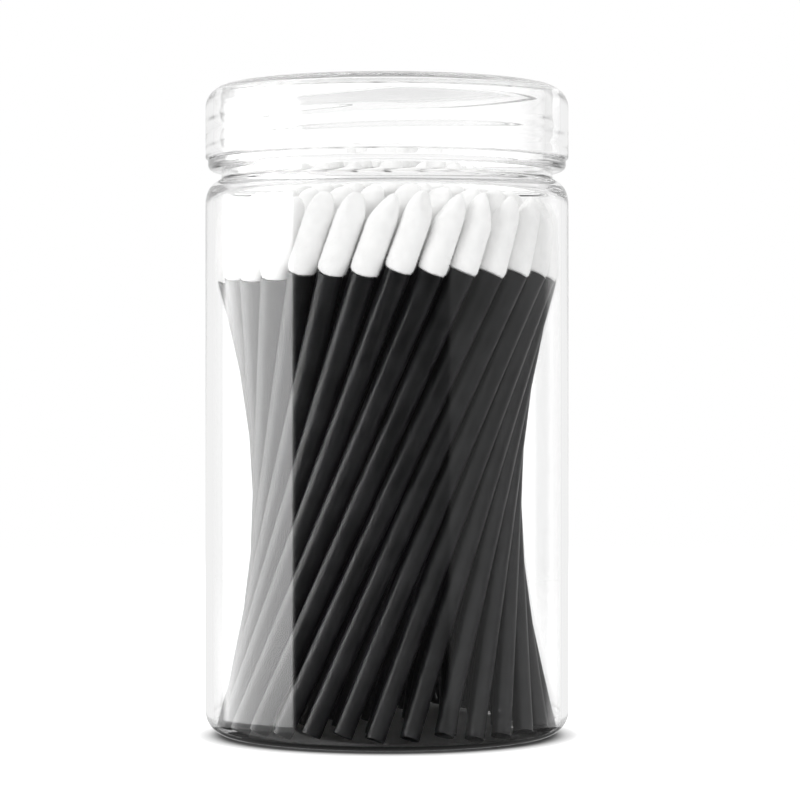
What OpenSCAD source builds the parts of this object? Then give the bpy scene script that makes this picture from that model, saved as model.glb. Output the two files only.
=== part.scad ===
// Clear screw-lid jar filled with disposable lip brushes.
// Millimetres, +Z up, origin at the centre of the base.
// The brushes stand in nested rings and all lean the same way round, so that
// the bundle narrows at its waist and spreads to the wall at both ends.

/* [Jar] */
// Outside diameter of the straight body
body_d = 57; // [52:0.5:64]
// Wall thickness of the jar
jar_wall = 1.2; // [0.8:0.1:1.5]
// Thickness of the jar's floor
floor_t = 0.8; // [0.6:0.1:1.5]
// Radius of the rounded edge round the base
base_edge_r = 3.6; // [2.4:0.1:4.5]
// Width of the flat ring that the jar stands on
foot_w = 3; // [2:0.1:5]
// Rise of the domed base at its middle
pushup_h = 4; // [2:0.1:5]
// How far the neck is set in from the body
shoulder_w = 2.5; // [2:0.1:3.2]
// Height of the rounded shoulder
shoulder_h = 3.6; // [2.6:0.1:5]
// Clear height from the outer tips to the inner corner of the shoulder
headroom = 1.3; // [1:0.1:4]

/* [Neck] */
// Height of plain neck between the shoulder and the bead
neck_h = 1.6; // [1:0.1:3]
// Height of the bead that the lid stops above
bead_h = 1.7; // [1.2:0.1:3]
// Step from the body's outside in to the bead's edge
bead_inset = 0.4; // [0:0.1:1]
// Radius of the bead's lower edge
bead_edge_r = 0.9; // [0.3:0.1:1.1]
// Height of the threaded finish from the bead to the rim
finish_h = 9.6; // [8:0.1:14]
// Radius of the rim's two edges
rim_edge_r = 0.35; // [0.1:0.05:0.35]

/* [Lid] */
// Wall thickness of the skirt
lid_wall = 1.4; // [1:0.1:1.6]
// Thickness of the top plate
lid_top_t = 1.1; // [0.8:0.1:2]
// Radius of the rounded top edge
lid_edge_r = 3.4; // [2:0.1:4]
// Radius of the inner corner under the top plate
lid_corner_r = 0.8; // [0.3:0.1:0.9]
// Gap between the skirt and the bead with the lid closed
skirt_gap = 0.1; // [0.05:0.05:0.4]

/* [Seal ring] */
// Thickness of the ring between the rim and the top plate
seal_t = 0.8; // [0.5:0.1:1.5]
// How far the ring reaches in past the mouth
seal_lip = 0.8; // [0.4:0.1:2]

/* [Brush] */
// Length of the tapered handle
handle_l = 76; // [70:0.5:90]
// Handle diameter at the tip end
handle_top_d = 3.9; // [3.5:0.1:4]
// Handle diameter at the open lower end
handle_end_d = 2.9; // [2.6:0.1:3]
// Diameter of the hollow through the handle
handle_bore_d = 1.8; // [1.2:0.1:2]
// Diameter of the socket that holds the tip's stem
socket_d = 2.3; // [2.1:0.1:2.6]
// Depth of that socket
socket_l = 8; // [5:0.5:14]
// Room round the stem and under it in the socket
stem_gap = 0.05; // [0.02:0.01:0.1]
// Length of the flocked tip above the handle
tip_l = 13; // [10:0.5:15]
// Largest diameter of the flocked tip
tip_d = 4.4; // [4:0.1:4.4]
// Diameter of the tip where it sits on the handle
tip_base_d = 3.9; // [3.4:0.1:4]
// Gap between the handle's rim and the flocked tip
tip_lift = 0.05; // [0.02:0.01:0.2]
// Height over which the lower end rounds out to the full diameter
tip_heel_h = 1.2; // [0.6:0.1:2.5]
// Height above the handle's rim at which the tip begins to narrow
tip_belly_l = 8; // [4:0.5:9]
// Angle of the slanted face to the tip's own axis
slant_angle = 24; // [14:1:30]
// How far below the point the slanted face begins, along the axis
slant_drop = 0.4; // [0.2:0.1:1.5]

/* [Bundle] */
// Brushes in the outer ring; each ring inside has seven fewer
outer_count = 31; // [24:1:31]
// Gap between neighbours of the outer ring at the waist
waist_gap = 0.2; // [0.2:0.05:1]
// Gap from one ring to the next at the waist
ring_gap = 0.6; // [0.4:0.05:1]
// Gap from one ring to the next at the lower ends
end_gap = 1.3; // [1.2:0.05:1.6]
// Gap from one ring to the next at the tips
tip_gap = 0.5; // [0.4:0.05:0.7]
// Gap between the outer tips and the wall before a brush slides up
wall_gap = 0.5; // [0.45:0.05:0.8]
// Gap between the lower ends of the outer ring and the wall
end_wall_gap = 0.6; // [0.5:0.05:1.5]
// Gap between a lower end and the floor
floor_gap = 0.05; // [0.02:0.01:0.2]
// Inward slope of the tips, where the wall bends them back
tip_inward = 0.04; // [0.03:0.01:0.1]
// Bearing of the first brush's lower end
first_bearing = 80; // [0:0.5:360]
// Largest random turn of a lower end, in degrees
end_scatter = 0.3; // [0:0.1:0.3]
// Largest random turn of an upper end, in degrees
top_scatter = 0.2; // [0:0.1:0.2]
// Largest random slide of a brush up its own length
slide_scatter = 1.2; // [0:0.1:1.2]

/* [Hidden] */
$fn = 64;
ARC_STEPS = 8;
DOME_STEPS = 10;
END_SEED = 41;
TOP_SEED = 91;
ROLL_SEED = 141;
SLIDE_SEED = 191;
RING_STEP = 7;
OWN_NODES = 27;
STEM_INTO_TIP = 1.4;

body_r = body_d / 2;
inner_r = body_r - jar_wall;
neck_r = body_r - shoulder_w;
mouth_r = neck_r - jar_wall;
foot_out_r = body_r - base_edge_r;
foot_in_r = foot_out_r - foot_w;
floor_edge_r = max(0.5, base_edge_r - jar_wall);
dome_r = (pow(foot_in_r, 2) + pow(pushup_h, 2)) / (2 * pushup_h);

handle_mid_d = (handle_top_d + handle_end_d) / 2;
handle_end_r = handle_end_d / 2;
tip_r = tip_d / 2;
tip_base_r = tip_base_d / 2;
cut_size = 2 * tip_l;

// Rings are counted from the outside in, starting at 0.
// The outer waist is the circle on which the handles stand waist_gap apart.
outer_end_r = inner_r - end_wall_gap - handle_end_r;
outer_top_r = inner_r - wall_gap - tip_r;
outer_mean_r = (outer_end_r + outer_top_r) / 2;
waist_need = (handle_mid_d + waist_gap) / (2 * sin(180 / outer_count));
waist_share = 1 - pow(2 * outer_mean_r / handle_l, 2);
outer_waist_r = handle_l / sqrt(8)
    * sqrt(sqrt(pow(waist_share, 2) + pow(4 * waist_need / handle_l, 2)) - waist_share);

ring_steps = [
    floor((outer_count - 1) / RING_STEP),
    floor((outer_top_r - tip_r) / (tip_d + tip_gap)),
    floor((outer_waist_r - handle_mid_d / 2) / (handle_mid_d + ring_gap))
];
last_ring = min(ring_steps);

function ring_count(k) = outer_count - RING_STEP * k;
function ring_top_r(k) = outer_top_r - k * (tip_d + tip_gap);
function ring_end_r(k) = outer_end_r - k * (handle_end_d + end_gap);
function ring_waist_r(k) =
    min(outer_waist_r - k * (handle_mid_d + ring_gap), ring_top_r(k), ring_end_r(k));
function ring_twist(k) =
    acos(ring_waist_r(k) / ring_end_r(k)) + acos(ring_waist_r(k) / ring_top_r(k));

// Height of the dome, and of the floor inside the jar, at a distance from the axis
function dome_z(r) =
    r >= foot_in_r ? 0 : sqrt(pow(dome_r, 2) - pow(r, 2)) - (dome_r - pushup_h);
function floor_z(r) = floor_t + dome_z(r);

// Each brush is a straight handle from its lower end to its upper end.
end_turns = [for (k = [0:last_ring]) rands(-end_scatter, end_scatter, ring_count(k), END_SEED + k)];
top_turns = [for (k = [0:last_ring]) rands(-top_scatter, top_scatter, ring_count(k), TOP_SEED + k)];
tip_rolls = [for (k = [0:last_ring]) rands(0, 360, ring_count(k), ROLL_SEED + k)];
slides = [for (k = [0:last_ring]) rands(0, slide_scatter, ring_count(k), SLIDE_SEED + k)];

function bearing(k, i) = first_bearing * (k + 1) + 360 / ring_count(k) * i;
function end_bearing(k, i) = bearing(k, i) + end_turns[k][i];
function top_bearing(k, i) = bearing(k, i) + ring_twist(k) + top_turns[k][i];
function on_circle(r, angle, z) = [r * cos(angle), r * sin(angle), z];

function plan_run(k, i) = norm(
    on_circle(ring_top_r(k), top_bearing(k, i), 0) - on_circle(ring_end_r(k), end_bearing(k, i), 0));
function end_height(k, i) =
    floor_z(ring_end_r(k) - handle_end_r) + handle_end_r * plan_run(k, i) / handle_l + floor_gap;
function top_height(k, i) =
    end_height(k, i) + sqrt(pow(handle_l, 2) - pow(plan_run(k, i), 2));
function low_point(k, i) = on_circle(ring_end_r(k), end_bearing(k, i), end_height(k, i));
function high_point(k, i) = on_circle(ring_top_r(k), top_bearing(k, i), top_height(k, i));
function handle_way(k, i) = (high_point(k, i) - low_point(k, i)) / handle_l;
function end_point(k, i) = low_point(k, i) + slides[k][i] * handle_way(k, i);
function top_point(k, i) = high_point(k, i) + slides[k][i] * handle_way(k, i);

// A tip loses the outward slope of its handle and leans in a little instead.
function outward(k, i) = on_circle(1, top_bearing(k, i), 0);
function tip_way(k, i) =
    let (way = handle_way(k, i), out = outward(k, i), bent = way - (way * out + tip_inward) * out)
    bent / norm(bent);

// Heights of the jar follow from its tallest outer tip.
outer_tip_z = max([for (i = [0:outer_count - 1]) top_point(0, i).z + tip_l * tip_way(0, i).z]);
shoulder_z = outer_tip_z + headroom - (shoulder_h - jar_wall);
neck_z = shoulder_z + shoulder_h;
bead_z = neck_z + neck_h;
bead_top_z = bead_z + bead_h;
rim_z = bead_top_z + finish_h;
bead_r = body_r - bead_inset;
lid_z = bead_top_z + skirt_gap;
lid_under_z = rim_z + seal_t;
lid_top_z = lid_under_z + lid_top_t;
lid_in_r = body_r - lid_wall;

function arc(x, z, rx, rz, from, to) =
    [for (s = [0:ARC_STEPS]) let (t = from + (to - from) * s / ARC_STEPS) [x + rx * cos(t), z + rz * sin(t)]];
function dome(lift, from, to) =
    [for (s = [0:DOME_STEPS]) let (r = from + (to - from) * s / DOME_STEPS) [r, lift + dome_z(r)]];

// Number with two digits, so that names sort in order
function two(n) = str(n < 10 ? "0" : "", n);
function handle_name(i) = str("handle_", two(i + 1));
function tip_name(i) = str("tip_", two(i + 1));

// Most brushes of the outer ring have nodes of their own. The others share two nodes:
// the last few of the outer ring, at the back, and every brush inside it.
OWN = [for (i = [0:min(outer_count, OWN_NODES) - 1]) i];
SHARED = concat(
    [for (i = [OWN_NODES:1:outer_count - 1]) [0, i]],
    [for (k = [1:1:last_ring], i = [0:ring_count(k) - 1]) [k, i]]);

// Blown jar: domed base, straight wall, rounded shoulder, bead and plain finish
module jar() {
    color([0.9, 0.93, 0.95, 0.25])
    rotate_extrude()
    polygon(concat(
        dome(0, 0, foot_in_r),
        arc(foot_out_r, base_edge_r, base_edge_r, base_edge_r, -90, 0),
        arc(neck_r, shoulder_z, shoulder_w, shoulder_h, 0, 90),
        [[neck_r, bead_z]],
        arc(bead_r - bead_edge_r, bead_z + bead_edge_r, bead_edge_r, bead_edge_r, -90, 0),
        [[bead_r, bead_top_z], [neck_r, bead_top_z]],
        arc(neck_r - rim_edge_r, rim_z - rim_edge_r, rim_edge_r, rim_edge_r, 0, 90),
        arc(mouth_r + rim_edge_r, rim_z - rim_edge_r, rim_edge_r, rim_edge_r, 90, 180),
        arc(mouth_r, shoulder_z, shoulder_w, shoulder_h - jar_wall, 90, 0),
        arc(inner_r - floor_edge_r, floor_t + floor_edge_r, floor_edge_r, floor_edge_r, 0, -90),
        dome(floor_t, foot_in_r, 0)));
}

// Shallow cup that drops over the finish, with a rounded top edge
module lid() {
    color([0.92, 0.94, 0.96, 0.25])
    rotate_extrude()
    polygon(concat(
        [[lid_in_r, lid_z], [body_r, lid_z]],
        arc(body_r - lid_edge_r, lid_top_z - lid_edge_r, lid_edge_r, lid_edge_r, 0, 90),
        [[0, lid_top_z], [0, lid_under_z]],
        arc(lid_in_r - lid_corner_r, lid_under_z - lid_corner_r, lid_corner_r, lid_corner_r, 90, 0)));
}

// Flat ring that the top plate presses on the rim
module seal_ring() {
    color([0.95, 0.96, 0.97, 0.5])
    rotate_extrude()
    polygon([
        [mouth_r - seal_lip, rim_z],
        [neck_r, rim_z],
        [neck_r, lid_under_z],
        [mouth_r - seal_lip, lid_under_z]
    ]);
}

// Stands its children at a point, with their Z along a direction
module along(point, way) {
    translate(point)
    rotate([0, acos(way.z), atan2(way.y, way.x)])
    children();
}

// Tapered tube, open below, with a socket for the tip above
module handle(k, i) {
    color([0.06, 0.06, 0.065])
    along(end_point(k, i), handle_way(k, i))
    rotate_extrude()
    polygon([
        [handle_bore_d / 2, 0],
        [handle_end_r, 0],
        [handle_top_d / 2, handle_l],
        [socket_d / 2, handle_l],
        [socket_d / 2, handle_l - socket_l],
        [handle_bore_d / 2, handle_l - socket_l]
    ]);
}

// Flocked head: a blunt finger with one slanted face, drawn down past the handle's rim
module tip_head() {
    intersection() {
        rotate_extrude()
        polygon(concat(
            [[0, -tip_r], [tip_base_r, -tip_r]],
            arc(tip_base_r, tip_heel_h, tip_r - tip_base_r, tip_heel_h, -90, 0),
            arc(0, tip_belly_l, tip_r, tip_l - tip_belly_l, 0, 90)));
        translate([0, 0, tip_l - slant_drop])
        rotate([0, -slant_angle, 0])
        translate([-cut_size, -cut_size / 2, -cut_size])
        cube([cut_size, cut_size, 2 * cut_size]);
    }
}

// Tip with its stem; the stem stays in line with the handle, and the head is cut level with the rim
module tip(k, i) {
    color([0.95, 0.95, 0.94]) {
        along(top_point(k, i), handle_way(k, i))
        translate([0, 0, stem_gap - socket_l])
        cylinder(d = socket_d - 2 * stem_gap, h = socket_l - stem_gap + STEM_INTO_TIP);
        intersection() {
            along(top_point(k, i), tip_way(k, i))
            rotate([0, 0, tip_rolls[k][i]])
            tip_head();
            along(top_point(k, i), handle_way(k, i))
            translate([-cut_size / 2, -cut_size / 2, tip_lift])
            cube(cut_size);
        }
    }
}

module inner_handles() {
    for (place = SHARED) handle(place[0], place[1]);
}

module inner_tips() {
    for (place = SHARED) tip(place[0], place[1]);
}

jar();
lid();
seal_ring();
inner_handles();
inner_tips();
for (i = OWN) {
    handle(0, i);
    tip(0, i);
}
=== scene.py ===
"""Clear screw-lid jar filled with disposable lip brushes.

Metres, +Z up, origin at the centre of the base. The photographed side faces -Y.
The jar, the lid and the seal ring are turned again with finer profiles and their threads.
The tips are flocked. The handles keep their own solids.
"""

import math

import bmesh
import bpy
import numpy as np
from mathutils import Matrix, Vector


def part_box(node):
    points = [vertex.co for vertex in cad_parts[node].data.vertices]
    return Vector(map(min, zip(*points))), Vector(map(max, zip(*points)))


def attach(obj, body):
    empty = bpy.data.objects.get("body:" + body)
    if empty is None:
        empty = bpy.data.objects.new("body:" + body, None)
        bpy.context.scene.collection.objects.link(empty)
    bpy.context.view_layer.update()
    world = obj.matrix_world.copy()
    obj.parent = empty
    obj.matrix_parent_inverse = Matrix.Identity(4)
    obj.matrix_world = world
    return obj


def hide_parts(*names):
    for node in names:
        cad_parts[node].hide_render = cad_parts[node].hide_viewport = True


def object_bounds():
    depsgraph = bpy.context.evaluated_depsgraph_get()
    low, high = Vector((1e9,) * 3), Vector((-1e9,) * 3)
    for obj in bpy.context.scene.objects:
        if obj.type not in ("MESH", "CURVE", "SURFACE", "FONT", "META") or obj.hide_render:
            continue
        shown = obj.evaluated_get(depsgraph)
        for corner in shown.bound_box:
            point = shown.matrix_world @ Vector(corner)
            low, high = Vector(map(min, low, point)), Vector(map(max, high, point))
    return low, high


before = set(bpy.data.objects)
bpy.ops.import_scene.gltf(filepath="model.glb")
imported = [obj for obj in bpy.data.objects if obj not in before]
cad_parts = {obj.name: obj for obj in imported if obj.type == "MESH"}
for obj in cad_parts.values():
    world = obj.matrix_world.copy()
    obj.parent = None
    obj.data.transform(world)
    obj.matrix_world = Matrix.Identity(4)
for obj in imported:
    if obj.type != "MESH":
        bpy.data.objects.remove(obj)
CAD_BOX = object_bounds()

MM = 0.001

# Sizes of the jar, the lid and the seal ring
JAR_WALL = 1.2 * MM
FLOOR_T = 0.8 * MM
BASE_EDGE_R = 3.6 * MM
FOOT_W = 3.0 * MM
PUSHUP_H = 4.0 * MM
SHOULDER_H = 3.6 * MM
SHOULDER_SWEEP = 82
NECK_H = 1.6 * MM
BEAD_H = 1.7 * MM
BEAD_INSET = 0.4 * MM
BEAD_EDGE_R = 0.9 * MM
BEAD_TOP_EDGE_R = 0.25 * MM
BEAD_ROOT_R = 0.3 * MM
NECK_ROOT_R = 0.5 * MM
RIM_EDGE_R = 0.35 * MM
SKIRT_GAP = 0.1 * MM
LID_WALL = 1.4 * MM
LID_EDGE_R = 3.4 * MM
LID_CORNER_R = 0.8 * MM
LID_LIP_R = 0.3 * MM
SEAL_EDGE_R = 0.15 * MM

# Places that follow from the frame
BODY_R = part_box("jar")[1].x
RIM_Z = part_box("jar")[1].z
NECK_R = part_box("seal_ring")[1].x
LID_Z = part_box("lid")[0].z
LID_TOP_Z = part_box("lid")[1].z
LID_UNDER_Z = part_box("seal_ring")[1].z
SEAL_IN_R = min(v.co.xy.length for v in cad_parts["seal_ring"].data.vertices)
INNER_R = BODY_R - JAR_WALL
MOUTH_R = NECK_R - JAR_WALL
FOOT_OUT_R = BODY_R - BASE_EDGE_R
FOOT_IN_R = FOOT_OUT_R - FOOT_W
FLOOR_EDGE_R = BASE_EDGE_R - JAR_WALL
DOME_R = (FOOT_IN_R**2 + PUSHUP_H**2) / (2 * PUSHUP_H)
BEAD_TOP_Z = LID_Z - SKIRT_GAP
BEAD_Z = BEAD_TOP_Z - BEAD_H
NECK_Z = BEAD_Z - NECK_H
SHOULDER_Z = NECK_Z - SHOULDER_H
BEAD_R = BODY_R - BEAD_INSET
LID_IN_R = BODY_R - LID_WALL

# Right-hand thread on the finish and in the lid, with the lead of the lid's travel
THREAD_LEAD = 4.0 * MM
THREAD_TURNS = 1.4
JAR_THREAD_H = 0.25 * MM
LID_THREAD_H = 0.2 * MM
THREAD_HALF_W = 1.5 * MM
THREAD_FADE = 0.12
THREAD_START_H = 2.6 * MM
JAR_THREAD_Z = BEAD_TOP_Z + THREAD_START_H
LID_THREAD_Z = JAR_THREAD_Z - 0.5 * THREAD_LEAD
THREAD_BEARING = math.radians(130)

# Fineness of the turned meshes
SEGMENTS = 192
ARC_STEPS = 12
DOME_STEPS = 16
THREAD_ROW = 0.16 * MM
SHARP_ANGLE = math.radians(40)
MERGE_DISTANCE = 0.001 * MM

# Flock on the tips; a tip that reaches past BY_WALL_R stands by the jar's wall
TIP_L = 13.0 * MM
BY_WALL_R = INNER_R - 2.0 * MM
OUTER_SKIN = 0.3 * MM
INNER_SKIN = 0.55 * MM
OUTER_SMOOTHING = 9
INNER_SMOOTHING = 4
SMOOTHING_FACTOR = 0.5
OUTER_FIBRES_PER_MM2 = 13.0
INNER_FIBRES_PER_MM2 = 2.0
FIBRE_L = 0.34 * MM
FIBRE_R = 0.03 * MM
FIBRE_SIDES = 3
FIBRE_TILT = 0.55
SHORTEST_FIBRE = 0.55
FLOCK_SEED = 7

# Camera, from the photograph's frame
IMAGE_PX = 800
AXIS_PX = 387.0
HORIZON_PX = 389.9
BODY_R_PX = 181.2
EYE_DISTANCE = 17.0 * BODY_R
EYE_Z = 1.8915 * BODY_R
SENSOR_MM = 36.0

scene = bpy.context.scene


# Node helpers
def add(tree, kind, settings=None, **inputs):
    """A new node with its settings; a value or an output goes to each named input."""
    made = tree.nodes.new(kind)
    for name, value in (settings or {}).items():
        setattr(made, name, value)
    for name, value in inputs.items():
        plug(tree, made.inputs[name.replace("_", " ")], value)
    return made


def plug(tree, socket, value):
    """Sets a socket, or links an output to it."""
    if isinstance(value, bpy.types.NodeSocket):
        tree.links.new(value, socket)
    else:
        socket.default_value = value


def math_node(tree, operation, first, second=0.0):
    """Output of one Math node."""
    made = tree.nodes.new("ShaderNodeMath")
    made.operation = operation
    plug(tree, made.inputs[0], first)
    plug(tree, made.inputs[1], second)
    return made.outputs[0]


def ramp(tree, value, low, high, to_low=0.0, to_high=1.0):
    """Value mapped smoothly from one range to another."""
    made = tree.nodes.new("ShaderNodeMapRange")
    made.interpolation_type = "SMOOTHSTEP"
    for name, given in (
        ("Value", value),
        ("From Min", low),
        ("From Max", high),
        ("To Min", to_low),
        ("To Max", to_high),
    ):
        plug(tree, made.inputs[name], given)
    return made.outputs["Result"]


def mix(tree, factor, first, second):
    """A value that goes from the first to the second."""
    return add(tree, "ShaderNodeMix", Factor=factor, A=first, B=second).outputs[0]


def mix_colours(tree, factor, first, second):
    """A colour that goes from the first to the second."""
    return add(tree, "ShaderNodeMixRGB", Fac=factor, Color1=first, Color2=second).outputs[0]


def mix_shaders(tree, factor, first, second):
    """A shader that goes from the first to the second."""
    made = add(tree, "ShaderNodeMixShader", Fac=factor)
    tree.links.new(first, made.inputs[1])
    tree.links.new(second, made.inputs[2])
    return made.outputs[0]


def grey(level):
    """Opaque grey of one level."""
    return (level, level, level, 1.0)


def new_material(name):
    """Empty node material with its output node."""
    made = bpy.data.materials.new(name)
    made.use_nodes = True
    made.node_tree.nodes.clear()
    return made, made.node_tree, add(made.node_tree, "ShaderNodeOutputMaterial")


def group_socket(tree, name, way, kind="NodeSocketFloat", value=None):
    """Named input or output of a node group."""
    made = tree.interface.new_socket(name=name, in_out=way, socket_type=kind)
    if value is not None:
        made.default_value = value
    return made


# Shared finish of moulded plastic; a noise mostly lies from NOISE_LOW to NOISE_HIGH
NOISE_LOW = 0.3
NOISE_HIGH = 0.7
STREAK_TURN = (0.5, 0.9, 0.3)
STREAK_STRETCH = (1.0, 1.0, 0.08)
STREAK_SCALE = 900.0
SCUFF_FROM = 0.66
SCUFF_FULL = 0.74
PATCH_FROM = 0.5
PATCH_FULL = 0.7


def moulded_surface():
    """Group that gives the roughness and the height of a moulded surface with faint scuffs."""
    tree = bpy.data.node_groups.new("moulded_surface", "ShaderNodeTree")
    for name, value in (
        ("Grain Scale", 4000.0),
        ("Ripple Scale", 120.0),
        ("Rough Low", 0.3),
        ("Rough High", 0.4),
        ("Scuffs", 0.05),
        ("Grain Height", 0.2),
    ):
        group_socket(tree, name, "INPUT", value=value)
    group_socket(tree, "Roughness", "OUTPUT")
    group_socket(tree, "Height", "OUTPUT")
    given = add(tree, "NodeGroupInput").outputs
    out = add(tree, "NodeGroupOutput")
    place = add(tree, "ShaderNodeTexCoord").outputs["Object"]

    def noise(vector, scale, detail, distortion=0.0):
        made = add(
            tree,
            "ShaderNodeTexNoise",
            Vector=vector,
            Scale=scale,
            Detail=detail,
            Distortion=distortion,
        )
        return made.outputs["Fac"]

    grain = noise(place, given["Grain Scale"], 3.0)
    ripple = noise(place, given["Ripple Scale"], 2.0)
    streaked = add(
        tree, "ShaderNodeMapping", Vector=place, Rotation=STREAK_TURN, Scale=STREAK_STRETCH
    )
    streak = noise(streaked.outputs[0], STREAK_SCALE, 4.0, 0.6)
    scuff = ramp(tree, streak, SCUFF_FROM, SCUFF_FULL)
    patch = ramp(tree, ripple, PATCH_FROM, PATCH_FULL)
    patchy_scuff = math_node(tree, "MULTIPLY", scuff, patch)
    marks = math_node(tree, "MULTIPLY", patchy_scuff, given["Scuffs"])
    spread = ramp(tree, ripple, NOISE_LOW, NOISE_HIGH, given["Rough Low"], given["Rough High"])
    tree.links.new(math_node(tree, "ADD", spread, marks), out.inputs["Roughness"])
    fine = math_node(tree, "MULTIPLY", grain, given["Grain Height"])
    tree.links.new(math_node(tree, "ADD", fine, ripple), out.inputs["Height"])
    return tree


MOULDED = moulded_surface()


def place_moulded(tree, **values):
    """The moulded surface group, placed in a material with its own values."""
    return add(tree, "ShaderNodeGroup", {"node_tree": MOULDED}, **values).outputs


def bumped(tree, strength, distance, height):
    """Normal of a surface with a bump."""
    made = add(tree, "ShaderNodeBump", Strength=strength, Distance=distance, Height=height)
    return made.outputs[0]


# Materials; DOME_LEVEL lies just over the upper face of the domed base
DOME_LEVEL = PUSHUP_H + 1.1 * FLOOR_T


def let_light_through(tree, shader, out):
    """Lets lamp light and soft light pass straight through a clear wall."""
    path = add(tree, "ShaderNodeLightPath").outputs
    open_way = add(tree, "ShaderNodeBsdfTransparent").outputs[0]
    soft = mix_shaders(tree, path["Is Diffuse Ray"], shader, open_way)
    lamp = mix_shaders(tree, path["Is Shadow Ray"], soft, open_way)
    tree.links.new(lamp, out.inputs["Surface"])


def on_dome(tree):
    """One on both faces of the jar's domed base, nought elsewhere."""
    coordinates = add(tree, "ShaderNodeTexCoord").outputs["Object"]
    place = add(tree, "ShaderNodeSeparateXYZ", Vector=coordinates).outputs
    squares = [math_node(tree, "MULTIPLY", place[a], place[a]) for a in ("X", "Y")]
    fall = math_node(tree, "DIVIDE", math_node(tree, "ADD", *squares), 2 * DOME_R)
    level = math_node(tree, "ADD", place["Z"], fall)
    return math_node(tree, "LESS_THAN", level, DOME_LEVEL)


def clear_plastic(name, ior, ripple_scale, ripple, scuffs, stipple=0.0):
    """Polished clear plastic with a faint ripple, a few scuffs and a stipple on a domed base."""
    made, tree, out = new_material(name)
    surface = place_moulded(
        tree,
        Grain_Scale=2500.0,
        Ripple_Scale=ripple_scale,
        Rough_Low=0.0,
        Rough_High=0.004,
        Scuffs=scuffs,
        Grain_Height=0.0,
    )
    rough = surface["Roughness"]
    if stipple:
        stippled = math_node(tree, "MULTIPLY", on_dome(tree), stipple)
        rough = math_node(tree, "MAXIMUM", rough, stippled)
    glass = add(
        tree,
        "ShaderNodeBsdfPrincipled",
        Base_Color=grey(1.0),
        Roughness=rough,
        IOR=ior,
        Transmission_Weight=1.0,
        Normal=bumped(tree, ripple, 0.1 * MM, surface["Height"]),
    )
    let_light_through(tree, glass.outputs[0], out)
    return made


def soft_seal_plastic():
    """Soft translucent plastic of the seal ring."""
    made, tree, out = new_material("soft_seal_plastic")
    surface = place_moulded(
        tree, Grain_Scale=3000.0, Ripple_Scale=300.0, Rough_Low=0.12, Rough_High=0.2, Scuffs=0.0
    )
    shader = add(
        tree,
        "ShaderNodeBsdfPrincipled",
        Base_Color=grey(0.97),
        Roughness=surface["Roughness"],
        IOR=1.42,
        Transmission_Weight=0.9,
        Normal=bumped(tree, 0.1, 0.05 * MM, surface["Height"]),
    )
    let_light_through(tree, shader.outputs[0], out)
    return made


def satin_black_plastic():
    """Satin black plastic of the handles, with a slight change of tone and gloss."""
    made, tree, out = new_material("satin_black_plastic")
    surface = place_moulded(
        tree,
        Grain_Scale=1500.0,
        Ripple_Scale=260.0,
        Rough_Low=0.36,
        Rough_High=0.42,
        Scuffs=0.05,
        Grain_Height=0.0,
    )
    tone = mix_colours(
        tree,
        ramp(tree, surface["Height"], NOISE_LOW, NOISE_HIGH),
        (0.006, 0.006, 0.0065, 1.0),
        (0.014, 0.014, 0.015, 1.0),
    )
    shader = add(
        tree,
        "ShaderNodeBsdfPrincipled",
        Base_Color=tone,
        Roughness=surface["Roughness"],
        IOR=1.45,
        Normal=bumped(tree, 0.05, 0.02 * MM, surface["Height"]),
    )
    tree.links.new(shader.outputs[0], out.inputs["Surface"])
    return made


def white_flock():
    """White nylon flock: rough, with a soft sheen and a slight mottle."""
    made, tree, out = new_material("white_flock")
    place = add(tree, "ShaderNodeTexCoord").outputs["Object"]
    mottle = add(tree, "ShaderNodeTexNoise", Vector=place, Scale=700.0, Detail=4.0).outputs["Fac"]
    fuzz = add(tree, "ShaderNodeTexNoise", Vector=place, Scale=9000.0, Detail=2.0).outputs["Fac"]
    tone = mix_colours(
        tree,
        ramp(tree, mottle, NOISE_LOW, NOISE_HIGH),
        (0.91, 0.91, 0.905, 1.0),
        (0.95, 0.95, 0.945, 1.0),
    )
    shader = add(
        tree,
        "ShaderNodeBsdfPrincipled",
        Base_Color=tone,
        Roughness=ramp(tree, fuzz, NOISE_LOW, NOISE_HIGH, 0.85, 1.0),
        Specular_IOR_Level=0.1,
        Sheen_Weight=0.25,
        Sheen_Roughness=0.5,
        Normal=bumped(tree, 0.35, 0.08 * MM, fuzz),
    )
    tree.links.new(shader.outputs[0], out.inputs["Surface"])
    return made


JAR_PLASTIC = clear_plastic(
    "clear_jar_plastic", ior=1.47, ripple_scale=90.0, ripple=0.03, scuffs=0.05, stipple=0.5
)
LID_PLASTIC = clear_plastic(
    "clear_lid_plastic", ior=1.25, ripple_scale=110.0, ripple=0.02, scuffs=0.03
)
SEAL_PLASTIC = soft_seal_plastic()
HANDLE_PLASTIC = satin_black_plastic()
TIP_FLOCK = white_flock()


# Turned pieces
def arc(x, z, rx, rz, start, end):
    """Points of an elliptical arc round (x, z), from one angle to another in degrees."""
    angles = [math.radians(start + (end - start) * s / ARC_STEPS) for s in range(ARC_STEPS + 1)]
    return [(x + rx * math.cos(a), z + rz * math.sin(a)) for a in angles]


def corner(x, z, r, start, end):
    """Points of a round corner about (x, z)."""
    return arc(x, z, r, r, start, end)


def dome(lift, start, end):
    """Points along the domed base, lifted by a wall."""
    radii = [start + (end - start) * s / DOME_STEPS for s in range(DOME_STEPS + 1)]
    drop = DOME_R - PUSHUP_H
    return [(r, lift + max(0.0, math.sqrt(DOME_R**2 - r**2) - drop)) for r in radii]


def straight(r, low, high, step):
    """Points up or down a straight wall, close enough to carry a thread."""
    count = max(2, round(abs(high - low) / step))
    return [(r, low + (high - low) * s / count) for s in range(count + 1)]


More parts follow.
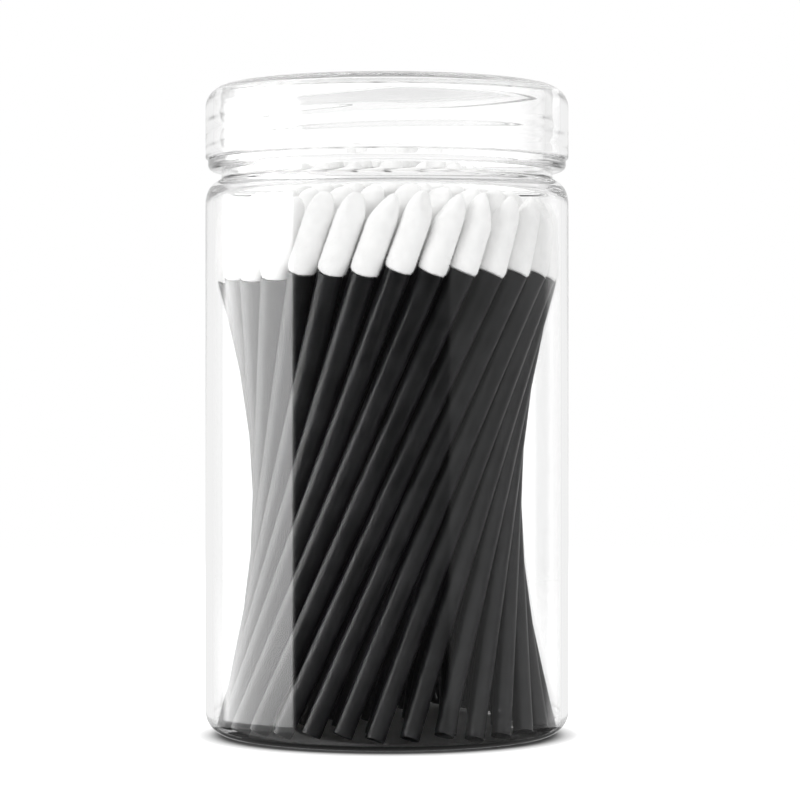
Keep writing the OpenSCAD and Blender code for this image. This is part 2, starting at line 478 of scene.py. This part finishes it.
def thread_ridge(bearing, z, start_z):
    """Share of the full height that a thread ridge has at bearings and heights."""
    turn = ((bearing - THREAD_BEARING) / (2 * math.pi)) % 1.0
    turn = turn + np.round((z - start_z) / THREAD_LEAD - turn)
    across = np.clip((z - start_z - THREAD_LEAD * turn) / THREAD_HALF_W, -1.0, 1.0)
    ridge = np.cos(0.5 * math.pi * across) ** 2
    run_in = np.clip(turn / THREAD_FADE, 0.0, 1.0)
    run_out = np.clip((THREAD_TURNS - turn) / THREAD_FADE, 0.0, 1.0)
    return ridge * run_in * run_out


def turned(name, profile, relief=None, closed=False):
    """Mesh object turned from a profile; relief moves its points in or out."""
    bearings = np.arange(SEGMENTS) * 2 * math.pi / SEGMENTS
    points, rows = [], []
    for r, z in profile:
        start = len(points)
        if r < MERGE_DISTANCE:
            points.append((0.0, 0.0, z))
            rows.append([start] * SEGMENTS)
            continue
        radii = np.full(SEGMENTS, r) + (0.0 if relief is None else relief(r, z, bearings))
        ring = zip(radii * np.cos(bearings), radii * np.sin(bearings), [z] * SEGMENTS)
        points.extend((float(x), float(y), float(h)) for x, y, h in ring)
        rows.append(list(range(start, start + SEGMENTS)))
    faces = []
    for low, high in zip(rows, rows[1:] + (rows[:1] if closed else [])):
        for s in range(SEGMENTS):
            t = (s + 1) % SEGMENTS
            corners = [low[s], low[t], high[t], high[s]]
            faces.append(list(dict.fromkeys(corners)))
    mesh = bpy.data.meshes.new(name)
    mesh.from_pydata(points, [], faces)
    work = bmesh.new()
    work.from_mesh(mesh)
    bmesh.ops.recalc_face_normals(work, faces=work.faces)
    work.to_mesh(mesh)
    work.free()
    mesh.shade_smooth()
    mesh.set_sharp_from_angle(angle=SHARP_ANGLE)
    return new_object(name, mesh)


def new_object(name, mesh):
    """Object at the origin, linked to the scene."""
    made = bpy.data.objects.new(name, mesh)
    scene.collection.objects.link(made)
    return made


def finish_piece(piece, body, slot, material, *nodes):
    """Gives a piece its material (its slot is not used), sets it on its body and hides what it
    stands for.
    """
    piece.data.materials.clear()
    piece.data.materials.append(material)
    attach(piece, body)
    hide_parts(*nodes)


def clear_jar():
    """Blown jar with a domed base, a rounded shoulder, a bead and a threaded finish."""
    root_r = BEAD_ROOT_R
    top_r = BEAD_TOP_EDGE_R
    rim_edge_z = RIM_Z - RIM_EDGE_R
    outside = dome(0.0, 0.0, FOOT_IN_R)
    outside += corner(FOOT_OUT_R, BASE_EDGE_R, BASE_EDGE_R, -90, 0)
    outside += arc(NECK_R, SHOULDER_Z, BODY_R - NECK_R, SHOULDER_H, 0, SHOULDER_SWEEP)
    neck_root = (NECK_R + NECK_ROOT_R, NECK_Z + NECK_ROOT_R)
    outside += corner(*neck_root, NECK_ROOT_R, 180 + SHOULDER_SWEEP, 180)
    outside += corner(NECK_R + root_r, BEAD_Z - root_r, root_r, 180, 90)
    outside += corner(BEAD_R - BEAD_EDGE_R, BEAD_Z + BEAD_EDGE_R, BEAD_EDGE_R, -90, 0)
    outside += corner(BEAD_R - top_r, BEAD_TOP_Z - top_r, top_r, 0, 90)
    outside += corner(NECK_R + root_r, BEAD_TOP_Z + root_r, root_r, 270, 180)
    outside += straight(NECK_R, BEAD_TOP_Z + root_r, rim_edge_z, THREAD_ROW)[1:-1]
    rim = corner(NECK_R - RIM_EDGE_R, rim_edge_z, RIM_EDGE_R, 0, 90)
    rim += corner(MOUTH_R + RIM_EDGE_R, rim_edge_z, RIM_EDGE_R, 90, 180)
    inside = arc(MOUTH_R, SHOULDER_Z, INNER_R - MOUTH_R, SHOULDER_H - JAR_WALL, 90, 0)
    inside += corner(INNER_R - FLOOR_EDGE_R, FLOOR_T + FLOOR_EDGE_R, FLOOR_EDGE_R, 0, -90)
    inside += dome(FLOOR_T, FOOT_IN_R, 0.0)

    def relief(r, z, bearings):
        on_finish = abs(r - NECK_R) < MERGE_DISTANCE and BEAD_TOP_Z < z < rim_edge_z
        return JAR_THREAD_H * thread_ridge(bearings, z, JAR_THREAD_Z) if on_finish else 0.0

    piece = turned("clear_jar", outside + rim + inside, relief)
    finish_piece(piece, "jar", "jar_plastic", JAR_PLASTIC, "jar")


def clear_lid():
    """Shallow cup with a rounded top edge and a thread inside its skirt."""
    lip = LID_LIP_R
    corner_z = LID_UNDER_Z - LID_CORNER_R
    profile = [(0.0, LID_TOP_Z)]
    profile += corner(BODY_R - LID_EDGE_R, LID_TOP_Z - LID_EDGE_R, LID_EDGE_R, 90, 0)
    profile += corner(BODY_R - lip, LID_Z + lip, lip, 0, -90)
    profile += corner(LID_IN_R + lip, LID_Z + lip, lip, 270, 180)
    profile += straight(LID_IN_R, LID_Z + lip, corner_z, THREAD_ROW)[1:-1]
    profile += corner(LID_IN_R - LID_CORNER_R, corner_z, LID_CORNER_R, 0, 90)
    profile += [(0.0, LID_UNDER_Z)]

    def relief(r, z, bearings):
        on_skirt = abs(r - LID_IN_R) < MERGE_DISTANCE and LID_Z + lip < z < corner_z
        return -LID_THREAD_H * thread_ridge(bearings, z, LID_THREAD_Z) if on_skirt else 0.0

    piece = turned("clear_lid", profile, relief)
    finish_piece(piece, "lid", "lid_plastic", LID_PLASTIC, "lid")


def soft_seal_ring():
    """Flat soft ring with rounded edges."""
    edge = SEAL_EDGE_R
    profile = corner(NECK_R - edge, RIM_Z + edge, edge, -90, 0)
    profile += corner(NECK_R - edge, LID_UNDER_Z - edge, edge, 0, 90)
    profile += corner(SEAL_IN_R + edge, LID_UNDER_Z - edge, edge, 90, 180)
    profile += corner(SEAL_IN_R + edge, RIM_Z + edge, edge, 180, 270)
    piece = turned("soft_seal_ring", profile, closed=True)
    finish_piece(piece, "seal", "seal_plastic", SEAL_PLASTIC, "seal_ring")


# Flocked tips
def flock_tree():
    """Geometry nodes that cover a tip with short fibres above a given height."""
    tree = bpy.data.node_groups.new("flock", "GeometryNodeTree")
    group_socket(tree, "Geometry", "INPUT", "NodeSocketGeometry")
    for name, value in (
        ("Density", 1.0),
        ("Fibre Length", FIBRE_L),
        ("Fibre Radius", FIBRE_R),
        ("Tilt", FIBRE_TILT),
        ("Lowest", 0.0),
    ):
        group_socket(tree, name, "INPUT", value=value)
    group_socket(tree, "Seed", "INPUT", "NodeSocketInt", FLOCK_SEED)
    group_socket(tree, "Material", "INPUT", "NodeSocketMaterial")
    group_socket(tree, "Geometry", "OUTPUT", "NodeSocketGeometry")
    given = add(tree, "NodeGroupInput").outputs
    out = add(tree, "NodeGroupOutput")
    position = add(tree, "GeometryNodeInputPosition").outputs[0]
    height = add(tree, "ShaderNodeSeparateXYZ", Vector=position).outputs["Z"]
    above = add(tree, "FunctionNodeCompare", {"data_type": "FLOAT", "operation": "GREATER_THAN"})
    tree.links.new(height, above.inputs[0])
    tree.links.new(given["Lowest"], above.inputs[1])
    spots = add(
        tree,
        "GeometryNodeDistributePointsOnFaces",
        Mesh=given["Geometry"],
        Selection=above.outputs[0],
        Density=given["Density"],
        Seed=given["Seed"],
    )
    lean = add(tree, "FunctionNodeRandomValue", {"data_type": "FLOAT_VECTOR"}, Seed=given["Seed"])
    lean.inputs[0].default_value = (-1.0, -1.0, -1.0)
    lean.inputs[1].default_value = (1.0, 1.0, 1.0)
    leaned = add(tree, "ShaderNodeVectorMath", {"operation": "SCALE"}, Scale=given["Tilt"])
    tree.links.new(lean.outputs[0], leaned.inputs[0])
    way = add(tree, "ShaderNodeVectorMath", {"operation": "ADD"})
    tree.links.new(spots.outputs["Normal"], way.inputs[0])
    tree.links.new(leaned.outputs[0], way.inputs[1])
    turn = add(tree, "FunctionNodeAlignRotationToVector", {"axis": "Z"}, Vector=way.outputs[0])
    length = add(tree, "FunctionNodeRandomValue", {"data_type": "FLOAT"}, Seed=given["Seed"])
    length.inputs[2].default_value = SHORTEST_FIBRE
    length.inputs[3].default_value = 1.0
    fibre = add(
        tree,
        "GeometryNodeMeshCone",
        Vertices=FIBRE_SIDES,
        Radius_Top=0.0,
        Radius_Bottom=given["Fibre Radius"],
        Depth=given["Fibre Length"],
    )
    placed = add(
        tree,
        "GeometryNodeInstanceOnPoints",
        Points=spots.outputs["Points"],
        Instance=fibre.outputs["Mesh"],
        Rotation=turn.outputs[0],
        Scale=length.outputs[1],
    )
    joined = add(tree, "GeometryNodeJoinGeometry")
    tree.links.new(placed.outputs[0], joined.inputs[0])
    tree.links.new(given["Geometry"], joined.inputs[0])
    real = add(tree, "GeometryNodeRealizeInstances", Geometry=joined.outputs[0])
    painted = add(
        tree, "GeometryNodeSetMaterial", Geometry=real.outputs[0], Material=given["Material"]
    )
    tree.links.new(painted.outputs[0], out.inputs[0])
    return tree


FLOCK = flock_tree()


def set_inputs(modifier, **values):
    """Sets a Geometry Nodes modifier's inputs by their identifiers."""
    for item in modifier.node_group.interface.items_tree:
        if item.in_out == "INPUT" and item.name in values:
            modifier[item.identifier] = values[item.name]


def evaluated_mesh(made, name):
    """Plain mesh of an object with its modifiers applied; the object itself is removed."""
    graph = bpy.context.evaluated_depsgraph_get()
    mesh = bpy.data.meshes.new_from_object(made.evaluated_get(graph))
    mesh.name = name
    bpy.data.objects.remove(made)
    return mesh


def solids_of(node):
    """The separate solids of a node, as merged meshes."""
    work = bmesh.new()
    work.from_mesh(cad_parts[node].data)
    bmesh.ops.remove_doubles(work, verts=work.verts, dist=MERGE_DISTANCE)
    left = set(work.verts)
    found = []
    while left:
        todo = [left.pop()]
        island = set(todo)
        while todo:
            for edge in todo.pop().link_edges:
                for vert in edge.verts:
                    if vert in left:
                        left.remove(vert)
                        island.add(vert)
                        todo.append(vert)
        order = sorted(island, key=lambda v: v.index)
        index = {v: i for i, v in enumerate(order)}
        faces = sorted({f for v in order for f in v.link_faces}, key=lambda f: f.index)
        mesh = bpy.data.meshes.new(node)
        mesh.from_pydata([v.co[:] for v in order], [], [[index[v] for v in f.verts] for f in faces])
        found.append(mesh)
    work.free()
    return sorted(found, key=lambda m: tuple(round(c, 6) for c in m.vertices[0].co))


def flocked(mesh, name, finish, seed):
    """One tip's solid with a soft skin and flock, as a plain mesh."""
    skin, smoothing, per_mm2 = finish
    made = new_object(name, mesh)
    smooth_skin = made.modifiers.new("skin", "REMESH")
    smooth_skin.mode = "VOXEL"
    smooth_skin.voxel_size = skin
    smooth_skin.use_smooth_shade = True
    rounded = made.modifiers.new("rounded", "SMOOTH")
    rounded.factor = SMOOTHING_FACTOR
    rounded.iterations = smoothing
    top = max(v.co.z for v in mesh.vertices)
    flock = made.modifiers.new("flock", "NODES")
    flock.node_group = FLOCK
    set_inputs(
        flock, Density=per_mm2 / MM**2, Lowest=top - TIP_L, Seed=seed, Material=TIP_FLOCK
    )
    return evaluated_mesh(made, name)


def joined_mesh(name, meshes):
    """Several meshes as one."""
    work = bmesh.new()
    for mesh in meshes:
        work.from_mesh(mesh)
    made = bpy.data.meshes.new(name)
    work.to_mesh(made)
    work.free()
    return made


def reach(mesh):
    """Farthest distance of a mesh from the jar's axis."""
    return max(v.co.xy.length for v in mesh.vertices)


def flocked_tips():
    """Each tip with a node of its own is a piece; the others are two, by the wall and inside."""
    outer = (OUTER_SKIN, OUTER_SMOOTHING, OUTER_FIBRES_PER_MM2)
    inner = (INNER_SKIN, INNER_SMOOTHING, INNER_FIBRES_PER_MM2)
    own = sorted(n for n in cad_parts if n.startswith("tip_"))
    for count, node in enumerate(own):
        (solid,) = solids_of(node)
        mesh = flocked(solid, node, outer, FLOCK_SEED + count)
        piece = new_object("flocked_" + node, mesh)
        finish_piece(piece, "jar", "tip_flock", TIP_FLOCK, node)
    shared = solids_of("inner_tips")
    by_wall = [s for s in shared if reach(s) > BY_WALL_R]
    inside = [s for s in shared if reach(s) <= BY_WALL_R]
    for name, solids, finish in (
        ("flocked_back_tips", by_wall, outer),
        ("flocked_inner_tips", inside, inner),
    ):
        first_seed = FLOCK_SEED + len(own)
        meshes = [flocked(s, name, finish, first_seed + i) for i, s in enumerate(solids)]
        piece = new_object(name, joined_mesh(name, meshes))
        finish_piece(piece, "jar", "tip_flock", TIP_FLOCK, "inner_tips")


def black_handles():
    """The handles keep their solids and get the satin black plastic."""
    for name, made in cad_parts.items():
        if "handle" in name:
            made.material_slots[0].material = HANDLE_PLASTIC


# Stage: soft light, and what the camera sees straight or through clear walls
AMBIENT = 0.7
BACKDROP = 1.0
BACKDROP_THROUGH_GLASS = 1.02
BACKDROP_THROUGH_LID = 1.22

# Counts of surfaces that a ray has passed; half a count tells them apart
SURFACES_OF_WALL = 2
SURFACES_OF_JAR = 4
HALF = 0.5

# Floor, white away from the jar, with a painted shadow under it and painted shade just beside its
# base
FLOOR_R = 0.7
FLOOR_Z = -0.2 * MM
FLOOR_SEGMENTS = 96
FLOOR_TONE = 0.85
# Painted shadow: the floor's dark tone under the jar, full within the next radius
UNDER_JAR_PAINTED_SHADOW_TONE = 0.12
PAINTED_SHADOW_FULL_R = 0.9 * BODY_R
FLOOR_GLOW = 0.6
# The glow is left out under and just beside the jar, which paints the floor there darker on top of
# its lit shadow
GLOW_FROM_R = 0.96 * BODY_R
GLOW_FULL_R = 1.12 * BODY_R
MIRRORED_TO_R = 1.2 * BODY_R
# Seen through the glass, distances shrink by this share, so the painted shadow and the glow-free
# ring reach further out
SHADE_THROUGH_GLASS = 0.52
GLOW_THROUGH_GLASS = 0.35
FADE_FROM_R = 0.1
FADE_TO_R = 0.6

# Radiance of what shines on glossy surfaces
FRONT_GLEAM = 0.03
LEFT_GLEAM = 6.75
LEFT_GLEAM_ON_HANDLES = 3.9
LEFT_GLEAM_IN_WALLS = 0.85
RIGHT_GLEAM = 0.22
BACK_GLEAM = 0.85
BACK_LOW_GLEAM = 0.1
CEILING_GLEAM = 0.95

# Bearings left and right of the camera, in degrees, at which they begin and end
LEFT_FROM = 61.0
RIGHT_FROM = 40.0
SIDES_TO = 124.0
EDGE = 1.0
BACK_EDGE = 4.0

# Upward part of a direction at which they begin and end
BACK_LOW_AT = -0.3
BACK_FULL_FROM = -0.12
LEFT_FULL_TO = 0.115
LEFT_GONE_AT = 0.24
CEILING_FROM = 0.16
CEILING_FULL = 0.34


def edge_at(tree, value, place, half_width):
    """Nought before a place and one after it, with a soft edge."""
    return ramp(tree, value, place - half_width, place + half_width)


def once_or_more(tree, count):
    """One where a count of bounces isn't nought."""
    return math_node(tree, "GREATER_THAN", count, HALF)


def gleam_of_room(tree, passed):
    """What glossy surfaces mirror: a dark front, two side lights, a pale back and ceiling."""
    direction = add(tree, "ShaderNodeTexCoord").outputs["Generated"]
    way = add(tree, "ShaderNodeSeparateXYZ", Vector=direction).outputs
    to_left = math_node(tree, "MULTIPLY", way["X"], -1.0)
    to_front = math_node(tree, "MULTIPLY", way["Y"], -1.0)
    on_left = math_node(tree, "DEGREES", math_node(tree, "ARCTAN2", to_left, to_front))
    on_right = math_node(tree, "MULTIPLY", on_left, -1.0)
    back = edge_at(tree, math_node(tree, "ABSOLUTE", on_left), SIDES_TO, BACK_EDGE)
    side = math_node(tree, "SUBTRACT", 1.0, back)
    left = math_node(tree, "MULTIPLY", side, edge_at(tree, on_left, LEFT_FROM, EDGE))
    right = math_node(tree, "MULTIPLY", side, edge_at(tree, on_right, RIGHT_FROM, EDGE))

    slope = math_node(tree, "ABSOLUTE", way["Z"])
    near_level = ramp(tree, slope, LEFT_FULL_TO, LEFT_GONE_AT, 1.0, 0.0)
    outside = math_node(tree, "LESS_THAN", passed, HALF)
    on_outside = math_node(tree, "MULTIPLY", near_level, outside)
    on_handles = math_node(tree, "COMPARE", passed, SURFACES_OF_JAR)
    within = mix(tree, on_handles, LEFT_GLEAM_IN_WALLS, LEFT_GLEAM_ON_HANDLES)
    left_level = mix(tree, on_outside, within, LEFT_GLEAM)

    low_back = ramp(tree, way["Z"], BACK_LOW_AT, BACK_FULL_FROM, BACK_LOW_GLEAM, BACK_GLEAM)
    in_one_wall = math_node(tree, "LESS_THAN", passed, SURFACES_OF_WALL + HALF)
    back_level = mix(tree, in_one_wall, BACK_GLEAM, low_back)

    walls = FRONT_GLEAM
    for mask, level in ((left, left_level), (right, RIGHT_GLEAM), (back, back_level)):
        walls = math_node(tree, "ADD", walls, math_node(tree, "MULTIPLY", mask, level))
    ceiling = ramp(tree, way["Z"], CEILING_FROM, CEILING_FULL, 0.0, CEILING_GLEAM)
    return math_node(tree, "MAXIMUM", walls, ceiling)


def studio_world():
    """White for the camera and through the glass, soft light for the rest, a room for gloss."""
    world = bpy.data.worlds.new("studio")
    scene.world = world
    world.use_nodes = True
    world.cycles.sampling_method = "NONE"
    tree = world.node_tree
    tree.nodes.clear()
    path = add(tree, "ShaderNodeLightPath").outputs
    passed = path["Transmission Depth"]
    through_lid = math_node(tree, "GREATER_THAN", passed, SURFACES_OF_JAR + HALF)
    through = mix(tree, through_lid, BACKDROP_THROUGH_GLASS, BACKDROP_THROUGH_LID)
    seen = mix(tree, path["Is Transmission Ray"], BACKDROP, through)
    plain = mix(tree, once_or_more(tree, path["Diffuse Depth"]), seen, AMBIENT)
    mirrored = once_or_more(tree, path["Glossy Depth"])
    level = mix(tree, mirrored, plain, gleam_of_room(tree, passed))
    shine = add(tree, "ShaderNodeBackground", Color=grey(1.0), Strength=level)
    out = add(tree, "ShaderNodeOutputWorld")
    tree.links.new(shine.outputs[0], out.inputs["Surface"])


def floor_finish():
    """Matt with a painted shadow under the jar, glowing white beyond it, and clear far away."""
    made, tree, out = new_material("pale_floor")
    path = add(tree, "ShaderNodeLightPath").outputs
    mirrored = once_or_more(tree, path["Glossy Depth"])
    place = add(tree, "ShaderNodeTexCoord").outputs["Object"]
    length = add(tree, "ShaderNodeVectorMath", {"operation": "LENGTH"})
    tree.links.new(place, length.inputs[0])
    away = length.outputs["Value"]
    # Seen through the glass the floor counts as nearer the axis, which widens the painted shadow
    drawn_in = math_node(tree, "MULTIPLY", path["Is Transmission Ray"], 1.0 - SHADE_THROUGH_GLASS)
    reached = math_node(tree, "MULTIPLY", away, math_node(tree, "SUBTRACT", 1.0, drawn_in))

    # Painted shadow: the floor's tone goes dark under the jar
    clear_of_painted_shadow = ramp(tree, reached, PAINTED_SHADOW_FULL_R, BODY_R)
    tone = mix_colours(tree, clear_of_painted_shadow, grey(UNDER_JAR_PAINTED_SHADOW_TONE), grey(FLOOR_TONE))
    matt = add(
        tree, "ShaderNodeBsdfDiffuse", Color=mix_colours(tree, mirrored, tone, grey(0.0))
    )
    through = math_node(tree, "MULTIPLY", path["Is Transmission Ray"], GLOW_THROUGH_GLASS)
    seen = math_node(tree, "MAXIMUM", path["Is Camera Ray"], through)
    lit = math_node(tree, "MULTIPLY", seen, math_node(tree, "SUBTRACT", 1.0, mirrored))
    # Painted shade: no glow near the jar, so the floor by the base is darker besides its lit shadow
    glow_level = ramp(tree, reached, GLOW_FROM_R, GLOW_FULL_R, 0.0, FLOOR_GLOW)
    glow = add(
        tree, "ShaderNodeEmission", Strength=math_node(tree, "MULTIPLY", lit, glow_level)
    )
    both = add(tree, "ShaderNodeAddShader")
    tree.links.new(matt.outputs[0], both.inputs[0])
    tree.links.new(glow.outputs[0], both.inputs[1])

    beside_jar = math_node(tree, "GREATER_THAN", away, MIRRORED_TO_R)
    unmirrored = math_node(tree, "MULTIPLY", mirrored, beside_jar)
    unseen = math_node(tree, "MAXIMUM", unmirrored, ramp(tree, away, FADE_FROM_R, FADE_TO_R))
    clear = add(tree, "ShaderNodeBsdfTransparent").outputs[0]
    shader = mix_shaders(tree, unseen, both.outputs[0], clear)
    tree.links.new(shader, out.inputs["Surface"])
    return made


def pale_floor():
    """Plain pale floor that keeps the shadow, has a painted shadow under the jar and goes white
    away from it.
    """
    mesh = bpy.data.meshes.new("pale_floor")
    work = bmesh.new()
    bmesh.ops.create_circle(work, cap_ends=True, segments=FLOOR_SEGMENTS, radius=FLOOR_R)
    for vert in work.verts:
        vert.co.z = FLOOR_Z
    work.to_mesh(mesh)
    work.free()
    mesh.materials.append(floor_finish())
    made = new_object("pale_floor", mesh)
    made.visible_glossy = False


def soft_lamp(name, place, size, power):
    """Large soft lamp that faces the middle of the jar."""
    lamp = bpy.data.lights.new(name, "AREA")
    lamp.shape = "DISK"
    lamp.size = size
    lamp.energy = power
    made = bpy.data.objects.new(name, lamp)
    made.location = place
    middle = (CAD_BOX[0] + CAD_BOX[1]) / 2
    made.rotation_euler = (middle - Vector(place)).to_track_quat("-Z", "Y").to_euler()
    made.visible_glossy = False
    made.visible_transmission = False
    scene.collection.objects.link(made)


def photo_camera():
    """Level camera in front of the jar, with the photograph's framing."""
    camera = bpy.data.cameras.new("photo_camera")
    camera.sensor_width = SENSOR_MM
    focal_px = BODY_R_PX / BODY_R * EYE_DISTANCE
    camera.lens = focal_px / IMAGE_PX * SENSOR_MM
    camera.shift_x = (IMAGE_PX / 2 - AXIS_PX) / IMAGE_PX
    camera.shift_y = (HORIZON_PX - IMAGE_PX / 2) / IMAGE_PX
    made = bpy.data.objects.new("photo_camera", camera)
    made.location = (0.0, -EYE_DISTANCE, EYE_Z)
    made.rotation_euler = (math.radians(90), 0.0, 0.0)
    scene.collection.objects.link(made)
    scene.camera = made


def render_paths():
    """Enough bounces for light to cross the jar and the lid."""
    scene.view_settings.view_transform = "Standard"
    scene.cycles.max_bounces = 32
    scene.cycles.transmission_bounces = 24
    scene.cycles.glossy_bounces = 24
    scene.cycles.transparent_max_bounces = 32


photo_camera()
clear_jar()
clear_lid()
soft_seal_ring()
black_handles()
flocked_tips()
studio_world()
pale_floor()
soft_lamp("key_lamp", place=(-0.6, -0.5, 0.45), size=0.5, power=3.0)
soft_lamp("fill_lamp", place=(0.7, -0.4, 0.3), size=0.6, power=1.45)
soft_lamp("top_lamp", place=(0.0, 0.35, 0.8), size=0.6, power=2.2)
render_paths()
